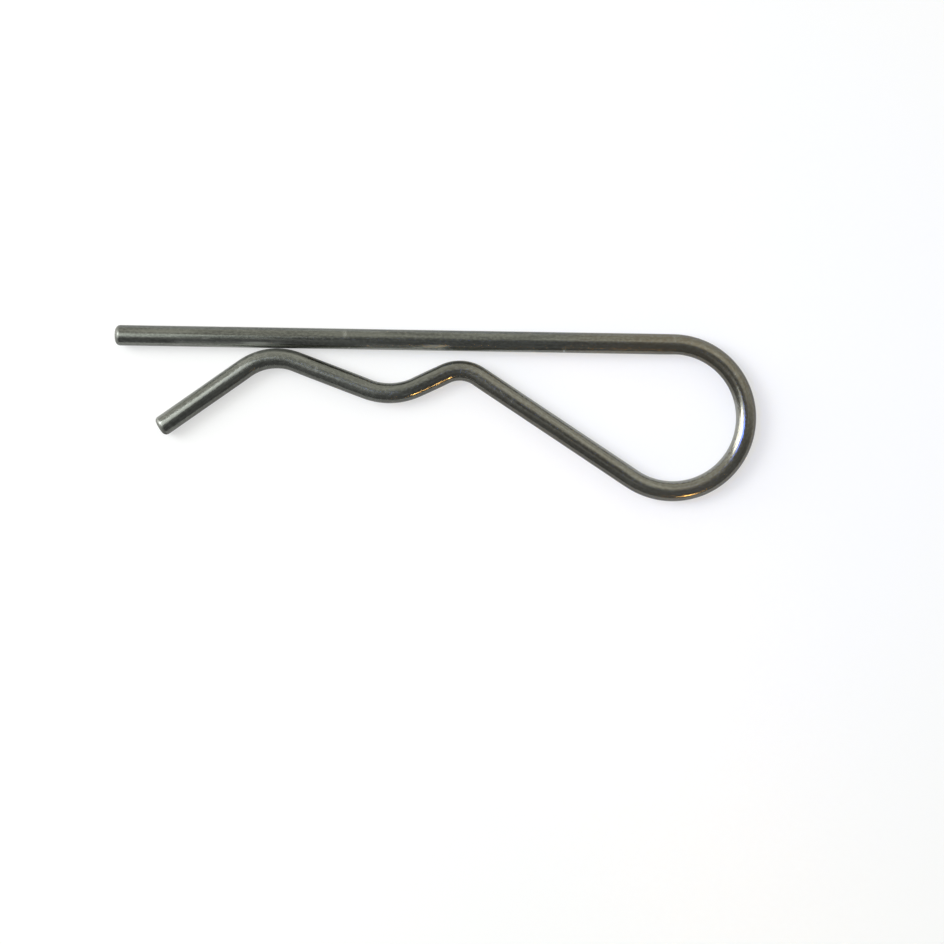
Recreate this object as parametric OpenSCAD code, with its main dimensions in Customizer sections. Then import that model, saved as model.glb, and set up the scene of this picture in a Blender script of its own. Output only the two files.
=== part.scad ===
// Hitch R clip bent from one length of round spring wire.
// The straight leg goes through the cross hole of a shaft, the bent leg springs over the shaft
// and its seat holds it there. The loop at the closed end is the eye that a finger or a cord pulls.
// The clip lies flat on Z = 0 with its straight leg along X, its tip towards -X and the bent leg
// on the -Y side. The origin is under the middle of the clip.

/* [Wire] */
// Diameter of the round spring wire
wire_d = 4.0; // [2:0.1:6]

/* [Straight leg] */
// Length of the straight leg, from its tip to the start of the eye
leg_l = 108.4; // [95:0.1:160]
// Rounding of the leg's tip, which leads it into the cross hole
leg_tip_r = 1.0; // [0.1:0.1:1.5]

/* [Eye] */
// Inside diameter of the eye
eye_inside_d = 24.5; // [16:0.5:32]
// Slope of the bent leg from the eye up to the hump, in degrees
eye_slope = 32.8; // [25:0.1:45]

/* [Hump] */
// Gap between the straight leg and the hump that faces it
hump_gap = 1.8; // [0.5:0.1:4]
// Inside radius of the bend at the hump
hump_inside_r = 4.7; // [3:0.1:8]

/* [Shaft seat] */
// Diameter of the shaft that the clip locks, drilled across for the straight leg
shaft_d = 16; // [12:0.5:25]
// Play between the shaft and the bottom of the seat
seat_play = 0.4; // [0:0.1:2]
// How much larger the seat's inside radius is than the shaft's radius
seat_ease = 2.5; // [0:0.1:6]
// Slope of the wire from the hump down into the seat, in degrees
seat_in_slope = 25.8; // [15:0.1:35]
// Slope of the wire from the seat up to the crest, in degrees
seat_out_slope = 20.0; // [12:0.1:35]

/* [Crest] */
// Gap that is left where the crest bears on the straight leg
crest_gap = 0.1; // [0.05:0.05:3]
// Inside radius of the bend at the crest
crest_inside_r = 8.8; // [4:0.1:12]

/* [Tail] */
// Slope of the tail that flares away from the straight leg, in degrees
tail_slope = 35.8; // [20:0.1:60]
// Length of the straight part of the tail
tail_l = 20.2; // [10:0.1:40]
// Rounding of the tail's cut end
tail_tip_r = 0.6; // [0.1:0.1:1.5]

/* [Hidden] */
$fn = 96;

wire_r = wire_d / 2;
// Share by which bending swells the wire, which is that much thicker round its bends
bend_swell = 0.015;
bent_r = wire_r * (1 + bend_swell);
// How far a straight runs into the bends at its ends
bend_bite = 0.1;
// Least flat that stays in the middle of a rounded end
end_flat_r = 0.1;
leg_round = min(leg_tip_r, wire_r - end_flat_r);
tail_round = min(tail_tip_r, wire_r - end_flat_r);

// Radius of each bend, to the middle of the wire
eye_r = eye_inside_d / 2 + wire_r;
hump_r = hump_inside_r + wire_r;
seat_r = shaft_d / 2 + seat_ease + wire_r;
crest_r = crest_inside_r + wire_r;

// How far the wire turns at each bend, in degrees
eye_turn = 180 + eye_slope;
hump_turn = eye_slope + seat_in_slope;
seat_turn = seat_in_slope + seat_out_slope;
crest_turn = seat_out_slope + tail_slope;

// How far each turning point lies from the straight leg, middle to middle of the wire
eye_depth = 2 * eye_r;
hump_depth = wire_d + hump_gap;
seat_depth = shaft_d / 2 + seat_play + wire_r;
crest_depth = wire_d + crest_gap;

// Length of the straight wire between two bends that turn opposite ways.
// Their turning points lie rise apart across the clip, and the wire between them has the given slope.
function between(rise, r1, r2, slope) = (rise - (r1 + r2) * (1 - cos(slope))) / sin(slope);

// Distance along the clip between the turning points of those two bends
function along(r1, r2, slope, l) = (r1 + r2) * sin(slope) + l * cos(slope);

neck_l = between(eye_depth - hump_depth, eye_r, hump_r, eye_slope);
seat_in_l = between(seat_depth - hump_depth, hump_r, seat_r, seat_in_slope);
seat_out_l = between(seat_depth - crest_depth, seat_r, crest_r, seat_out_slope);

// Where the bends turn and the tail ends, from the leg's tip and the leg's middle line
hump_x = leg_l - along(eye_r, hump_r, eye_slope, neck_l);
seat_x = hump_x - along(hump_r, seat_r, seat_in_slope, seat_in_l);
crest_x = seat_x - along(seat_r, crest_r, seat_out_slope, seat_out_l);
tail_x = crest_x - crest_r * sin(tail_slope) - (tail_l - tail_round) * cos(tail_slope);
tail_y = -crest_depth - crest_r * (1 - cos(tail_slope)) - (tail_l - tail_round) * sin(tail_slope);

// How far the tail's rounded rim reaches past that point, along the clip and across it
rim_x = (wire_r - tail_round) * sin(tail_slope) + tail_round;
rim_y = (wire_r - tail_round) * cos(tail_slope) + tail_round;

// Box round the clip, which sets the origin under its middle
x_low = min(0, tail_x - rim_x);
x_high = leg_l + eye_r + bent_r;
y_low = min(-eye_depth - bent_r, tail_y - rim_y);
y_high = bent_r;

// The wire is described as it is bent: along +X from a starting point, where each length of wire
// carries the rest of the wire on its far end as its children.

// Straight wire, l long, between two bends
module straight(l) {
    translate([-bend_bite, 0, 0])
        rotate([0, 90, 0])
            cylinder(r = wire_r, h = l + 2 * bend_bite);
    translate([l, 0, 0])
        children();
}

// Bend that turns the wire by a degrees at the middle radius r, to the left if side is 1 and
// to the right if it is -1
module bend(r, a, side) {
    translate([0, side * r, 0]) {
        rotate([0, 0, side > 0 ? -90 : 90 - a])
            rotate_extrude(angle = a)
                translate([r, 0])
                    rotate(-90)
                        circle(r = bent_r);
        rotate([0, 0, side * a])
            translate([0, -side * r, 0])
                children();
    }
}

// The straight leg, with the rounded tip that leads it into the cross hole
module leg() {
    translate([leg_l, 0, 0]) {
        rotate([0, 90, 180])
            rounded_bar(leg_l, leg_round);
        children();
    }
}

module eye() {
    bend(eye_r, eye_turn, -1)
        children();
}

// The hump stops the shaft from sliding on into the eye
module hump() {
    straight(neck_l)
        bend(hump_r, hump_turn, 1)
            children();
}

// The seat that the shaft lies in
module seat() {
    straight(seat_in_l)
        bend(seat_r, seat_turn, -1)
            children();
}

// The crest bears on the straight leg and holds the shaft in
module crest() {
    straight(seat_out_l)
        bend(crest_r, crest_turn, 1)
            children();
}

// The tail flares away from the leg and leads the shaft in
module tail() {
    rotate([0, 90, 0])
        rounded_bar(tail_l, tail_round);
}

// Round bar along +Z from a bend to a free end l away, which is cut square and rounded by r
module rounded_bar(l, r) {
    rotate_extrude() {
        translate([0, -bend_bite])
            square([wire_r, l - r + bend_bite]);
        square([wire_r - r, l]);
        intersection() {
            translate([wire_r - r, l - r])
                circle(r = r);
            translate([0, l - r])
                square([wire_r, r]);
        }
    }
}

module clip_wire() {
    color([0.42, 0.42, 0.38])
        translate([-(x_low + x_high) / 2, -(y_low + y_high) / 2, bent_r])
            leg() eye() hump() seat() crest() tail();
}

clip_wire();
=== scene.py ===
import math
import random

import bpy
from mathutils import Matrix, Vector


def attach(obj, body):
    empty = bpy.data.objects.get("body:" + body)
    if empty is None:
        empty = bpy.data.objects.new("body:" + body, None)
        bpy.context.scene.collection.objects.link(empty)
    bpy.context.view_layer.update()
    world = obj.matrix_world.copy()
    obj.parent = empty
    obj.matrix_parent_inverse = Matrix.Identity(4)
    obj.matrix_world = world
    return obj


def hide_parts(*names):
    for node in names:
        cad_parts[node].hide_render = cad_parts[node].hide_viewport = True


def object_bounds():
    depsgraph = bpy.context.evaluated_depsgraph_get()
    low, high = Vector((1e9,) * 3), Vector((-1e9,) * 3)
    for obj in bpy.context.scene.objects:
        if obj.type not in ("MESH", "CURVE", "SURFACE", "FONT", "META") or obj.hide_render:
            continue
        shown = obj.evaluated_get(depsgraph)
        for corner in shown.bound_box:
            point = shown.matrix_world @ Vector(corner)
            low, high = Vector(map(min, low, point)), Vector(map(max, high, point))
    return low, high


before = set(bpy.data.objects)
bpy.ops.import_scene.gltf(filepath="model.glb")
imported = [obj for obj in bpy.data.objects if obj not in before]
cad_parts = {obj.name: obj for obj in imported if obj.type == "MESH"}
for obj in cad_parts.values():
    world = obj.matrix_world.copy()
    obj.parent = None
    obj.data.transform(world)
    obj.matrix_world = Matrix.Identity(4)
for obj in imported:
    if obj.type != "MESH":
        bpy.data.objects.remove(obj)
cad_low, cad_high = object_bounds()

# The clip's one piece: hard drawn round spring wire, cut to length, its leading end ground round
# and its other end sheared, then bent cold over pins into the eye, the hump, the seat and the crest.
# It replaces the plain solid along the same line, so that its draw lines can follow every bend.
MM = 0.001
wire_r = 2.0 * MM
leg_l = 108.4 * MM
leg_tip_r = 1.0 * MM
eye_r = 14.25 * MM
eye_slope = math.radians(32.8)
hump_r = 6.7 * MM
hump_depth = 5.8 * MM
seat_r = 12.5 * MM
seat_in_slope = math.radians(25.8)
seat_out_slope = math.radians(20.0)
crest_r = 10.8 * MM
tail_slope = math.radians(35.8)
tail_l = 20.2 * MM

# The crest bears on the straight leg here, where the solid stays 0.1 mm off it. That lifts the
# seat a little too, and the tail's end is worn rounder than the solid's.
crest_depth = 4.0 * MM
seat_depth = 10.37 * MM
tail_tip_r = 0.9 * MM

# Bends are this much thicker than the wire, so they alone touch the table and carry the rest.
bend_swell = 0.015
middle_up = wire_r * (1 + bend_swell)


def straight_between(rise, r1, r2, slope):
    """Length of the straight between two opposite bends whose turning points lie rise apart."""
    return (rise - (r1 + r2) * (1 - math.cos(slope))) / math.sin(slope)


neck_l = straight_between(2 * eye_r - hump_depth, eye_r, hump_r, eye_slope)
seat_in_l = straight_between(seat_depth - hump_depth, hump_r, seat_r, seat_in_slope)
seat_out_l = straight_between(seat_depth - crest_depth, seat_r, crest_r, seat_out_slope)

# What the bender does for the eye, the hump, the seat, the crest and the tail: length fed
# straight, then radius and angle of the bend, where a left turn is positive.
bends = [
    (leg_l, eye_r, -(math.pi + eye_slope)),
    (neck_l, hump_r, eye_slope + seat_in_slope),
    (seat_in_l, seat_r, -(seat_in_slope + seat_out_slope)),
    (seat_out_l, crest_r, seat_out_slope + tail_slope),
    (tail_l, None, 0.0),
]

ring_step = 0.35 * MM
bend_step = math.radians(1.5)


def stations():
    """Rings along the wire: distance from the tip, centre, heading, and side of the bend or 0."""
    made = []
    x, y = cad_low.x, cad_high.y - middle_up
    heading, along = 0.0, 0.0
    for straight, radius, turn in bends:
        count = math.ceil(straight / ring_step)
        for i in range(count):
            run = straight * i / count
            here_x = x + run * math.cos(heading)
            here_y = y + run * math.sin(heading)
            made.append((along + run, here_x, here_y, heading, 0.0))
        x += straight * math.cos(heading)
        y += straight * math.sin(heading)
        along += straight
        if radius is None:
            made.append((along, x, y, heading, 0.0))
            break
        side = math.copysign(1.0, turn)
        pin_x = x - side * radius * math.sin(heading)
        pin_y = y + side * radius * math.cos(heading)
        count = math.ceil(abs(turn) / bend_step)
        for i in range(count):
            here = heading + turn * i / count
            run = radius * abs(turn) * i / count
            here_x = pin_x + side * radius * math.sin(here)
            here_y = pin_y - side * radius * math.cos(here)
            made.append((along + run, here_x, here_y, here, side))
        heading += turn
        x = pin_x + side * radius * math.sin(heading)
        y = pin_y - side * radius * math.cos(heading)
        along += radius * abs(turn)
    return made


rings = stations()
wire_l = rings[-1][0]

# Where each bend starts and ends along the wire, and the side that it turns to.
bend_spans = []
in_bend = False
for along, x, y, heading, side in rings:
    if side and not in_bend:
        bend_spans.append([along, along, side])
    if side:
        bend_spans[-1][1] = along
    in_bend = bool(side)
eye_start, eye_end = bend_spans[0][:2]
seat_start, seat_end = bend_spans[2][:2]
crest_start, crest_end = bend_spans[3][:2]
bend_runout = 2.5 * MM


def bent_share(along):
    """How far the section is bent out of round here, from 0 to 1, and the side the wire turns to."""
    share, side = 0.0, 1.0
    for start, end, turn_side in bend_spans:
        inside = min(along - start, end - along) / bend_runout
        here = min(1.0, max(0.0, 0.5 + inside / 2))
        here = here * here * (3 - 2 * here)
        if here > share:
            share, side = here, turn_side
    return share, side


# Nicks and scuffs from the bin and the bending tools: distance along, angle round the wire, half length,
# half width, depth and shine of each. The leg has a nick across it and two long scuffs, whose strong
# shine is also painted glints on the leg's flank that faces into the clip.
nicks = [
    (44.6 * MM, math.radians(62), 0.22 * MM, 0.95 * MM, 0.010 * MM, 0.8),
    (27.5 * MM, math.radians(128), 1.9 * MM, 0.20 * MM, 0.004 * MM, 2.2),
    (62.3 * MM, math.radians(126), 2.3 * MM, 0.22 * MM, 0.004 * MM, 1.6),
]
nick_dice = random.Random(41)
small_nicks = 60
nick_margin = 2 * MM
for _ in range(small_nicks):
    crosswise = nick_dice.random() < 0.5
    size = nick_dice.uniform(0.25, 0.8) * MM
    at = nick_dice.uniform(nick_margin, wire_l - nick_margin)
    round_at = nick_dice.uniform(-math.pi, math.pi)
    half_l, half_w = (0.2 * MM, size) if crosswise else (size, 0.15 * MM)
    depth = nick_dice.uniform(0.006, 0.022) * MM
    shine = nick_dice.uniform(0.1, 0.7)
    nicks.append((at, round_at, half_l, half_w, depth, shine))


def turned(angle, start):
    """Angle round the wire from start, between minus and plus half a turn."""
    return (angle - start + math.pi) % (2 * math.pi) - math.pi


def nicked(along, angle):
    """How deep the nicks are at a place on the wire, and how bright."""
    depth, shine = 0.0, 0.0
    for at, round_at, half_l, half_w, nick_depth, nick_shine in nicks:
        if abs(along - at) < 3 * half_l:
            off = turned(angle, round_at) * wire_r
            share = math.exp(-((along - at) / half_l) ** 2 - (off / half_w) ** 2)
            depth += nick_depth * share
            shine += nick_shine * share
    return depth, shine


# The pins press a faint flat on the inner side of each bend, and the drawn surface wavers a little
# all along the wire, in waves whose length drifts.
pin_flat_depth = 0.03 * MM
pin_flat_half = math.radians(24)
wave_depth = 0.012 * MM
wave_l = 9.1 * MM
drift_l = 23 * MM
drift = 1.3


def surface_radius(along, angle):
    """Radius of the wire, where angle 0 is its left side and a quarter turn is its top."""
    share, side = bent_share(along)
    r = wire_r * (1 - bend_swell * share * math.cos(2 * angle))
    inner = 0.0 if side > 0 else math.pi
    r -= pin_flat_depth * share * math.exp(-(turned(angle, inner) / pin_flat_half) ** 2)
    wave = math.sin(along / wave_l + drift * math.sin(along / drift_l) + 2 * angle)
    r -= wave_depth * (1 + wave) / 2
    depth, shine = nicked(along, angle)
    return r - depth


# Places where the wire is brightened and made satin: some are worn by hands, the shaft and the leg, and
# the rest are painted sheen, highlight bands and glints, and rims lit up where they face the shaded gap.
# Each gives from and to along it, angle round it, half width round it, and how much. Half a turn round
# is the side that faces into the clip.
wear_and_sheen_fade = 2.0 * MM
worn_and_sheen_places = [
    (0.0, 12 * MM, 0.45 * math.pi, math.radians(60), 0.1),
    (13 * MM, 31 * MM, 0.73 * math.pi, math.radians(17), 0.7),
    (20 * MM, 80 * MM, math.pi, math.radians(26), 0.85),
    (49 * MM, 62 * MM, 0.76 * math.pi, math.radians(15), 0.6),
    (eye_start + 18 * MM, eye_end, 0.85 * math.pi, math.radians(50), 0.2),
    (eye_start + 20 * MM, seat_start, math.pi, math.radians(40), 1.1),
    (eye_start + 32 * MM, eye_end, 0.40 * math.pi, math.radians(45), 0.16),
    (seat_start, seat_end, math.pi, math.radians(55), 0.3),
    (seat_start, crest_start, math.pi, math.radians(30), 0.9),
    (seat_end, crest_start, 0.40 * math.pi, math.radians(30), 0.2),
    (crest_start, crest_end, math.pi, math.radians(65), 0.35),
    (crest_start, crest_end, math.pi, math.radians(50), 1.3),
    (crest_end, wire_l, 0.80 * math.pi, math.radians(45), 0.25),
    (crest_end, wire_l, 0.52 * math.pi, math.radians(15), 0.5),
    (crest_end, wire_l, math.pi, math.radians(42), 1.3),
]


def wear_and_sheen_share(along, angle):
    """How much rubbing and painted sheen brighten the wire at a distance along it and an angle round it.
    """
    share = 0.0
    for start, end, round_at, round_half, much in worn_and_sheen_places:
        beyond = max(start - along, along - end, 0.0) / wear_and_sheen_fade
        off = turned(angle, round_at) / round_half
        share = max(share, much * math.exp(-beyond ** 2 - off ** 2))
    depth, shine = nicked(along, angle)
    return share + shine


# How brown old oil has made the wire, how coarse the small pins have left its surface, and how much
# painted shade darkens its outer and inner flanks: distances along it in mm, and the level at each.
oil_levels = [(84, 0.0), (100, 1.0), (122, 1.0), (142, 0.8), (160, 0.6), (198, 0.5), (212, 0.0)]
coarse_levels = [
    (186, 0.3), (197, 1.0), (201, 1.0), (204, 0.0), (212, 0.0), (215, 1.0), (240, 1.0), (250, 0.5),
]
outer_painted_shade_levels = [(110, 0.0), (124, 1.0), (255, 1.0), (262, 0.5)]
inner_painted_shade_levels = [(98, 0.0), (108, 0.9), (121, 0.9), (127, 0.0)]
painted_shade_half = math.radians(46)


def level(levels, along):
    """The level at a distance along the wire, drawn straight between the ones given."""
    if along <= levels[0][0] * MM:
        return levels[0][1]
    for (start, low), (end, high) in zip(levels[:-1], levels[1:]):
        if along < end * MM:
            return low + (high - low) * (along - start * MM) / (end * MM - start * MM)
    return levels[-1][1]


def end_profile(rounding):
    """Points of a rounded end: how far back from the end's face, and how far in from the side."""
    steps = 9
    profile = []
    for i in range(steps + 1):
        a = math.pi / 2 * i / steps
        profile.append((rounding * (1 - math.sin(a)), rounding * (1 - math.cos(a))))
    return profile


segments = 72
points, unbent, rubbed_and_sheen, oiled, coarse, dirt_and_shade = [], [], [], [], [], []

# Grinding and shearing leave both ends dull, and dirt stays in them, darkened further by painted shade
# that dims the lamps' glint there. The shears lean a little.
shear_tilt = math.tan(math.radians(4))
face_scales = (0.85, 0.6, 0.35, 0.12)
face_rub = 0.6
end_rub = 2.2
end_dirt_and_shade = 0.75


def add_ring(along, x, y, heading, back=0.0, inset=0.0, scale=1.0, tilt=0.0, rub=0.0):
    """One ring of points round the wire, moved by back along it and pulled in by inset or scale."""
    row = len(points)
    for k in range(segments):
        angle = 2 * math.pi * k / segments
        r = (surface_radius(along, angle) - inset) * scale
        side, up = r * math.cos(angle), r * math.sin(angle)
        shift = back + tilt * side
        points.append((
            x + shift * math.cos(heading) - side * math.sin(heading),
            y + shift * math.sin(heading) + side * math.cos(heading),
            middle_up + up,
        ))
        unbent.append((along + shift, side, up))
        rubbed_and_sheen.append(rub + wear_and_sheen_share(along, angle))
        oiled.append(level(oil_levels, along))
        coarse.append(level(coarse_levels, along) + rub)
        # Painted shade darkens the outer and inner flanks where the steel would mirror the white table,
        # and the rounded ends take dirt with painted shade that dims their glint.
        outward = turned(angle, 0.0)
        inward = math.pi - abs(outward)
        dirt_and_shade.append(
            level(outer_painted_shade_levels, along) * math.exp(-(outward / painted_shade_half) ** 2)
            + level(inner_painted_shade_levels, along) * math.exp(-(inward / painted_shade_half) ** 2)
            + end_dirt_and_shade * min(1.0, rub)
        )
    return row


rows, end_rows = [], []
tip = rings[0][:4]
for scale in reversed(face_scales):
    rows.append(add_ring(*tip, inset=leg_tip_r, scale=scale, rub=face_rub))
    end_rows.append(rows[-1])
for back, inset in reversed(end_profile(leg_tip_r)):
    rub = end_rub * (1 - back / leg_tip_r)
    rows.append(add_ring(*tip, back=back, inset=inset, rub=rub))
end_rows.append(rows[len(face_scales)])
for along, x, y, heading, side in rings:
    if leg_tip_r + ring_step / 2 < along < wire_l - tail_tip_r - ring_step / 2:
        rows.append(add_ring(along, x, y, heading))
cut = rings[-1][:4]
for back, inset in end_profile(tail_tip_r):
    rub = end_rub * (1 - back / tail_tip_r)
    tilt = shear_tilt * inset / tail_tip_r
    rows.append(add_ring(*cut, back=-back, inset=inset, tilt=tilt, rub=rub))
end_rows.append(rows[-1])
for scale in face_scales:
    rows.append(add_ring(*cut, inset=tail_tip_r, scale=scale, tilt=shear_tilt, rub=face_rub))
    end_rows.append(rows[-1])

faces, face_material = [], []
for lower, upper in zip(rows[:-1], rows[1:]):
    on_face = lower in end_rows and upper in end_rows
    for k in range(segments):
        after = (k + 1) % segments
        faces.append((lower + k, lower + after, upper + after, upper + k))
        face_material.append(1 if on_face else 0)
for row, at_tail in ((rows[0], False), (rows[-1], True)):
    centre = len(points)
    middle = [sum(points[row + k][axis] for k in range(segments)) / segments for axis in range(3)]
    points.append(middle)
    unbent.append((unbent[row][0], 0.0, 0.0))
    rubbed_and_sheen.append(face_rub)
    oiled.append(0.0)
    coarse.append(0.0)
    dirt_and_shade.append(0.0)
    for k in range(segments):
        after = (k + 1) % segments
        faces.append((row + k, row + after, centre) if at_tail else (row + after, row + k, centre))
        face_material.append(1)

mesh = bpy.data.meshes.new("bent_spring_wire")
mesh.from_pydata(points, [], faces)
mesh.polygons.foreach_set("use_smooth", [True] * len(faces))
mesh.polygons.foreach_set("material_index", face_material)
place = mesh.attributes.new("unbent", "FLOAT_VECTOR", "POINT")
place.data.foreach_set("vector", [value for point in unbent for value in point])
for name, values in (("rubbed_and_sheen", rubbed_and_sheen), ("oiled", oiled), ("coarse", coarse), ("dirt_and_shade", dirt_and_shade)):
    mesh.attributes.new(name, "FLOAT", "POINT").data.foreach_set("value", values)
mesh.validate()
wire = bpy.data.objects.new("bent_spring_wire", mesh)
bpy.context.scene.collection.objects.link(wire)


def link(tree, *pairs):
    """Joins pairs of sockets, each from an output to an input."""
    for source, target in pairs:
        tree.links.new(source, target)


def node(tree, kind, **values):
    """A shader node with its properties and its inputs set by name."""
    made = tree.nodes.new(kind)
    for key, value in values.items():
        if hasattr(made, key):
            setattr(made, key, value)
        else:
            made.inputs[key.replace("_", " ")].default_value = value
    return made


def stretched_noise(tree, vector, scale, detail=2.0, roughness=0.5):
    """Noise whose grain is 1 over scale metres long along the wire, round it and up."""
    stretch = node(tree, "ShaderNodeMapping", Scale=scale)
    noise = node(tree, "ShaderNodeTexNoise", Scale=1.0, Detail=detail, Roughness=roughness)
    link(tree, (vector, stretch.inputs["Vector"]), (stretch.outputs[0], noise.inputs["Vector"]))
    return noise.outputs["Fac"]


def spread(tree, value, low, high, to_low=0.0, to_high=1.0):
    """A value stretched smoothly from one range to another."""
    ramp = node(tree, "ShaderNodeMapRange", interpolation_type="SMOOTHSTEP")
    for name, number in (("From Min", low), ("From Max", high), ("To Min", to_low), ("To Max", to_high)):
        ramp.inputs[name].default_value = number
    link(tree, (value, ramp.inputs["Value"]))
    return ramp.outputs["Result"]


def maths(tree, operation, a, b, c=0.0):
    """One sum of two or three values or sockets."""
    made = node(tree, "ShaderNodeMath", operation=operation)
    for socket, value in zip(made.inputs, (a, b, c)):
        if isinstance(value, (int, float)):
            socket.default_value = value
        else:
            link(tree, (value, socket))
    return made.outputs[0]


def blended(tree, share, a, b):
    """Colour a turning into colour b as share goes from 0 to 1."""
    made = node(tree, "ShaderNodeMix", data_type="RGBA")
    for socket, value in ((made.inputs[0], share), (made.inputs[6], a), (made.inputs[7], b)):
        if isinstance(value, tuple):
            socket.default_value = (*value, 1.0)
        elif isinstance(value, (int, float)):
            socket.default_value = value
        else:
            link(tree, (value, socket))
    return made.outputs[2]


# Draw lines: the die's fine scores that run the whole length of the wire, in two widths.
fine_scale = (90, 5200, 5200)
broad_scale = (75, 2100, 2100)
draw_lines = bpy.data.node_groups.new("draw_lines", "ShaderNodeTree")
draw_lines.interface.new_socket("Place", in_out="INPUT", socket_type="NodeSocketVector")
draw_lines.interface.new_socket("Fine", in_out="OUTPUT", socket_type="NodeSocketFloat")
draw_lines.interface.new_socket("Broad", in_out="OUTPUT", socket_type="NodeSocketFloat")
lines_in = draw_lines.nodes.new("NodeGroupInput")
lines_out = draw_lines.nodes.new("NodeGroupOutput")
fine = stretched_noise(draw_lines, lines_in.outputs["Place"], fine_scale, detail=3)
broad = stretched_noise(draw_lines, lines_in.outputs["Place"], broad_scale, detail=2)
link(draw_lines, (fine, lines_out.inputs["Fine"]), (broad, lines_out.inputs["Broad"]))

# Oil film and handling: a thin film in soft patches, and a dull mottle where it dried.
patch_scale = (110, 520, 520)
mottle_scale = (1500, 2600, 2600)
oil_film = bpy.data.node_groups.new("oil_film", "ShaderNodeTree")
oil_film.interface.new_socket("Place", in_out="INPUT", socket_type="NodeSocketVector")
oil_film.interface.new_socket("Film", in_out="OUTPUT", socket_type="NodeSocketFloat")
oil_film.interface.new_socket("Mottle", in_out="OUTPUT", socket_type="NodeSocketFloat")
film_in = oil_film.nodes.new("NodeGroupInput")
film_out = oil_film.nodes.new("NodeGroupOutput")
patches = stretched_noise(oil_film, film_in.outputs["Place"], patch_scale, detail=3)
dried = stretched_noise(oil_film, film_in.outputs["Place"], mottle_scale, detail=3, roughness=0.6)
link(
    oil_film,
    (spread(oil_film, patches, 0.42, 0.66), film_out.inputs["Film"]),
    (spread(oil_film, dried, 0.38, 0.66), film_out.inputs["Mottle"]),
)


def placed(tree, group, place):
    """A shared effect in a material, fed with the unbent wire's place."""
    made = tree.nodes.new("ShaderNodeGroup")
    made.node_tree = group
    link(tree, (place, made.inputs["Place"]))
    return made


def steel(name):
    """A bare steel material: its tree, its shader and the unbent wire's place."""
    material = bpy.data.materials.new(name)
    material.use_nodes = True
    tree = material.node_tree
    shader = tree.nodes["Principled BSDF"]
    shader.inputs["Metallic"].default_value = 1.0
    shader.inputs["Specular Tint"].default_value = (0.75, 0.75, 0.75, 1.0)
    place = node(tree, "ShaderNodeAttribute", attribute_name="unbent").outputs["Vector"]
    return material, tree, shader, place


def share_of(tree, name):
    """A share between 0 and 1 that the mesh carries under a name."""
    return node(tree, "ShaderNodeAttribute", attribute_name=name).outputs["Fac"]


# The wire's colour is laid up in turn: scored steel, clouded by the film, browned by old oil, mottled
# where it dried, brightened by rubbing and by painted sheen, and darkened over all of it by dirt at the
# ends and by painted shade on the flanks and ends.
score_colour = (0.100, 0.104, 0.095)
ridge_colour = (0.178, 0.184, 0.166)
cloud_colour = (0.105, 0.107, 0.099)
oil_colour = (0.172, 0.150, 0.113)
mottle_colour = (0.235, 0.242, 0.222)
polished_and_sheen_colour = (0.42, 0.43, 0.40)
dirt_and_shade_colour = (0.055, 0.052, 0.045)
drawn_steel, tree, shader, place = steel("drawn_spring_steel")
lines = placed(tree, draw_lines, place)
film = placed(tree, oil_film, place)
mottle = film.outputs["Mottle"]
wear_and_sheen = share_of(tree, "rubbed_and_sheen")
oil = share_of(tree, "oiled")
bumpy = share_of(tree, "coarse")
dirt_and_shade_share = share_of(tree, "dirt_and_shade")
scored = spread(tree, lines.outputs["Broad"], 0.3, 0.7)
bare = blended(tree, scored, score_colour, ridge_colour)
cloudy = blended(tree, maths(tree, "MULTIPLY", film.outputs["Film"], 0.4), bare, cloud_colour)
oil_streaks = spread(tree, lines.outputs["Fine"], 0.35, 0.65, 0.5, 1.0)
browned = blended(tree, maths(tree, "MULTIPLY", oil, oil_streaks), cloudy, oil_colour)
mottled = blended(tree, maths(tree, "MULTIPLY", mottle, 0.5), browned, mottle_colour)
# Rubbing brightens the steel, and painted sheen brightens it too: highlight bands and glints along the
# tail, the leg and the bends, and rims lit up where they face the shaded gap.
polished_and_sheened = blended(tree, maths(tree, "MULTIPLY", wear_and_sheen, 0.7), mottled, polished_and_sheen_colour)
# Dirt at the ends and painted shade on the flanks and ends darken the colour last.
darkened_by_dirt_and_shade = blended(tree, maths(tree, "MULTIPLY", dirt_and_shade_share, 0.7), polished_and_sheened, dirt_and_shade_colour)

# Rubbing leaves it satin, and score lines, coarse places and dried oil roughen it further.
least_rough = 0.11
satin = spread(tree, wear_and_sheen, 0.0, 1.3, 0.0, 0.36)
rough_lines = maths(tree, "MULTIPLY_ADD", scored, 0.04, satin)
specks = maths(tree, "MULTIPLY", mottle, 0.05)
dull = maths(tree, "ADD", rough_lines, maths(tree, "MULTIPLY_ADD", bumpy, 0.1, specks))

# The scores are shallow where the wire was drawn smoothest, and grain comes with coarseness.
score_depth = 0.014 * MM
grain = maths(tree, "MULTIPLY", mottle, maths(tree, "MULTIPLY", bumpy, 0.42))
scores = maths(tree, "MULTIPLY_ADD", lines.outputs["Fine"], 0.2, lines.outputs["Broad"])
how_scored = spread(tree, bumpy, 0.0, 0.3, 0.2, 1.0)
height = maths(tree, "MULTIPLY_ADD", scores, how_scored, grain)
bump = node(tree, "ShaderNodeBump", Strength=1.0, Distance=score_depth)
link(
    tree,
    (darkened_by_dirt_and_shade, shader.inputs["Base Color"]),
    (maths(tree, "ADD", dull, least_rough), shader.inputs["Roughness"]),
    (height, bump.inputs["Height"]),
    (bump.outputs["Normal"], shader.inputs["Normal"]),
)

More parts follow.
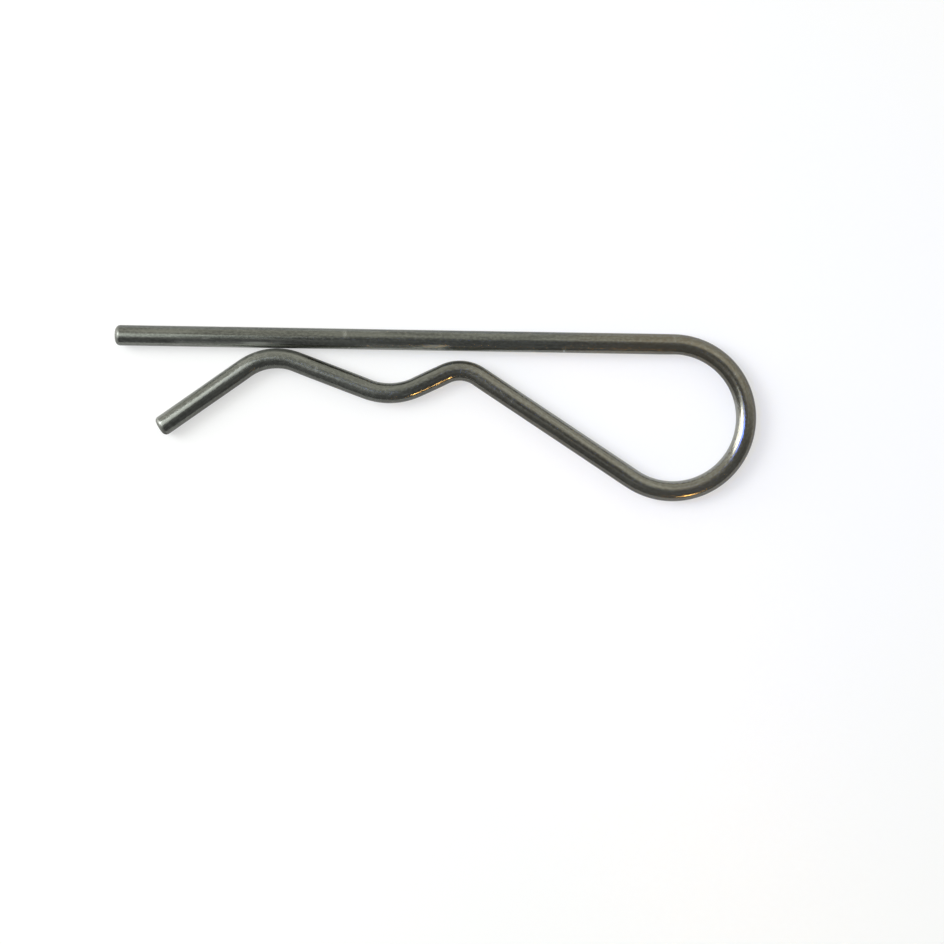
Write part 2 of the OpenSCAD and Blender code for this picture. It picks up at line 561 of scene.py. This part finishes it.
# The end faces: brighter than the wire, torn in fine lines by the shears and stained by oil.
tear_scale = (900, 900, 5200)
tear_depth = 0.02 * MM
torn_colour = (0.22, 0.215, 0.17)
face_colour = (0.42, 0.41, 0.34)
stain_colour = (0.17, 0.145, 0.10)
cut_steel, tree, shader, place = steel("cut_end_steel")
film = placed(tree, oil_film, place)
tears = stretched_noise(tree, place, tear_scale, detail=3)
face = blended(tree, spread(tree, tears, 0.3, 0.7), torn_colour, face_colour)
stained = blended(tree, maths(tree, "MULTIPLY", film.outputs["Film"], 0.5), face, stain_colour)
bump = node(tree, "ShaderNodeBump", Strength=1.0, Distance=tear_depth)
link(
    tree,
    (stained, shader.inputs["Base Color"]),
    (spread(tree, tears, 0.3, 0.7, 0.28, 0.45), shader.inputs["Roughness"]),
    (tears, bump.inputs["Height"]),
    (bump.outputs["Normal"], shader.inputs["Normal"]),
)

mesh.materials.append(drawn_steel)
mesh.materials.append(cut_steel)
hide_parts("clip_wire")
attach(wire, "root")

# The table that the clip lies on: a plain matt white board, lit like the clip. It glows just enough
# to be white where nothing shades it, for the camera and in the steel, and keeps the clip's shadow.
table_half = 3.0
table_grey = (0.42, 0.42, 0.42, 1.0)
table_glow = 0.53
table_mesh = bpy.data.meshes.new("white_table")
corners = [(-1, -1), (1, -1), (1, 1), (-1, 1)]
table_points = [(x * table_half, y * table_half, cad_low.z) for x, y in corners]
table_mesh.from_pydata(table_points, [], [(0, 1, 2, 3)])
table = bpy.data.objects.new("white_table", table_mesh)
bpy.context.scene.collection.objects.link(table)
white = bpy.data.materials.new("white_table")
white.use_nodes = True
tree = white.node_tree
shader = tree.nodes["Principled BSDF"]
shader.inputs["Base Color"].default_value = table_grey
shader.inputs["Roughness"].default_value = 0.9
shader.inputs["Specular IOR Level"].default_value = 0.0
shader.inputs["Emission Color"].default_value = (1.0, 1.0, 1.0, 1.0)
rays = node(tree, "ShaderNodeLightPath")
seen = maths(tree, "MAXIMUM", rays.outputs["Is Camera Ray"], rays.outputs["Is Glossy Ray"])
seen = maths(tree, "MAXIMUM", seen, rays.outputs["Is Transmission Ray"])
link(tree, (maths(tree, "MULTIPLY", seen, table_glow), shader.inputs["Emission Strength"]))
table_mesh.materials.append(white)

# The room: a studio with a pale warm wall beyond the straight leg, brightest low down, which dims
# to a grey one on the near side. That is what bands the steel.
wall_way = math.radians(80)
wall_drop = -0.18
near_colour = (0.275, 0.28, 0.28)
wall_colour = (0.95, 0.94, 0.85)
world = bpy.data.worlds.new("studio")
bpy.context.scene.world = world
world.use_nodes = True
tree = world.node_tree
sky = tree.nodes["Background"]
direction = node(tree, "ShaderNodeTexCoord").outputs["Generated"]
across = node(tree, "ShaderNodeVectorMath", operation="DOT_PRODUCT")
across.inputs[1].default_value = (math.cos(wall_way), math.sin(wall_way), wall_drop)
link(tree, (direction, across.inputs[0]))
side_light = spread(tree, across.outputs["Value"], -0.3, 0.5)
link(tree, (blended(tree, side_light, near_colour, wall_colour), sky.inputs["Color"]))


def soft_box(name, azimuth, elevation, distance, width, height, radiance, colour, beam=180):
    """A flat soft light that faces the middle of the clip, its beam narrowed to so many degrees."""
    half = math.radians(beam) / 2
    lamp = bpy.data.lights.new(name, "AREA")
    lamp.shape = "RECTANGLE"
    lamp.size = width
    lamp.size_y = height
    lamp.spread = 2 * half
    lamp.color = colour
    lamp.energy = math.pi * width * height * radiance
    if beam < 180:
        lamp.energy *= 1 - half / math.tan(half)
    made = bpy.data.objects.new(name, lamp)
    bpy.context.scene.collection.objects.link(made)
    a, e = math.radians(azimuth), math.radians(elevation)
    away = Vector((math.cos(a) * math.cos(e), math.sin(a) * math.cos(e), math.sin(e)))
    made.location = away * distance
    made.rotation_euler = (-away).to_track_quat("-Z", "Y").to_euler()
    return made


def turn_to(lamp, x, y):
    """Turns a lamp to face a point of the clip."""
    towards = Vector((x, y, wire_r)) - lamp.location
    lamp.rotation_euler = towards.to_track_quat("-Z", "Y").to_euler()


# A tall window beyond the leg's tip glares on the inner side of the eye. Its foot carries the glare
# down the bend, and a narrow blue lamp at its head edges it.
soft_box(
    "window", azimuth=166, elevation=40, distance=1.0, width=0.57, height=0.40,
    radiance=9.5, colour=(0.94, 0.97, 1.0),
)
soft_box(
    "window_foot", azimuth=166, elevation=12, distance=1.0, width=0.54, height=0.48,
    radiance=4.5, colour=(1.0, 1.0, 0.97),
)
window_head = soft_box(
    "window_head", azimuth=155, elevation=71.5, distance=0.48, width=0.12, height=0.066,
    radiance=30.0, colour=(0.05, 0.16, 1.0), beam=18,
)
turn_to(window_head, 60 * MM, 0.0)

# Two weak lamps fill the sides that turn away from the window, and one overhead draws the bands
# along the tail and the leg's tip.
soft_box(
    "right_box", azimuth=43, elevation=52, distance=0.443, width=0.30, height=0.29,
    radiance=0.34, colour=(1.0, 0.96, 0.88),
)
soft_box(
    "fill", azimuth=-152, elevation=62, distance=1.2, width=0.90, height=0.65,
    radiance=0.20, colour=(1.0, 0.99, 0.96),
)
soft_box(
    "overhead", azimuth=171, elevation=56, distance=0.362, width=0.22, height=0.27,
    radiance=1.55, colour=(0.95, 1.0, 0.95),
)

# A small warm lamp, low on the near side, leaves the orange streak by the hump and the glint under
# the eye.
warm_lamp = soft_box(
    "warm_lamp", azimuth=-67, elevation=19, distance=0.42, width=0.04, height=0.08,
    radiance=78.0, colour=(1.0, 0.54, 0.15), beam=12,
)
turn_to(warm_lamp, 30 * MM, -11 * MM)

# The camera looks straight down, turned a little, at the photograph's framing.
frame_w = 183.3 * MM
camera_up = 0.40
camera_turn = math.radians(0.946)
aim = Vector((7.29 * MM, -11.18 * MM, wire_r))
lens = bpy.data.cameras.new("camera")
lens.lens = lens.sensor_width * camera_up / frame_w
camera = bpy.data.objects.new("camera", lens)
bpy.context.scene.collection.objects.link(camera)
camera.location = aim + Vector((0, 0, camera_up))
camera.rotation_euler = (0.0, 0.0, camera_turn)
bpy.context.scene.camera = camera
bpy.context.scene.view_settings.view_transform = "Standard"
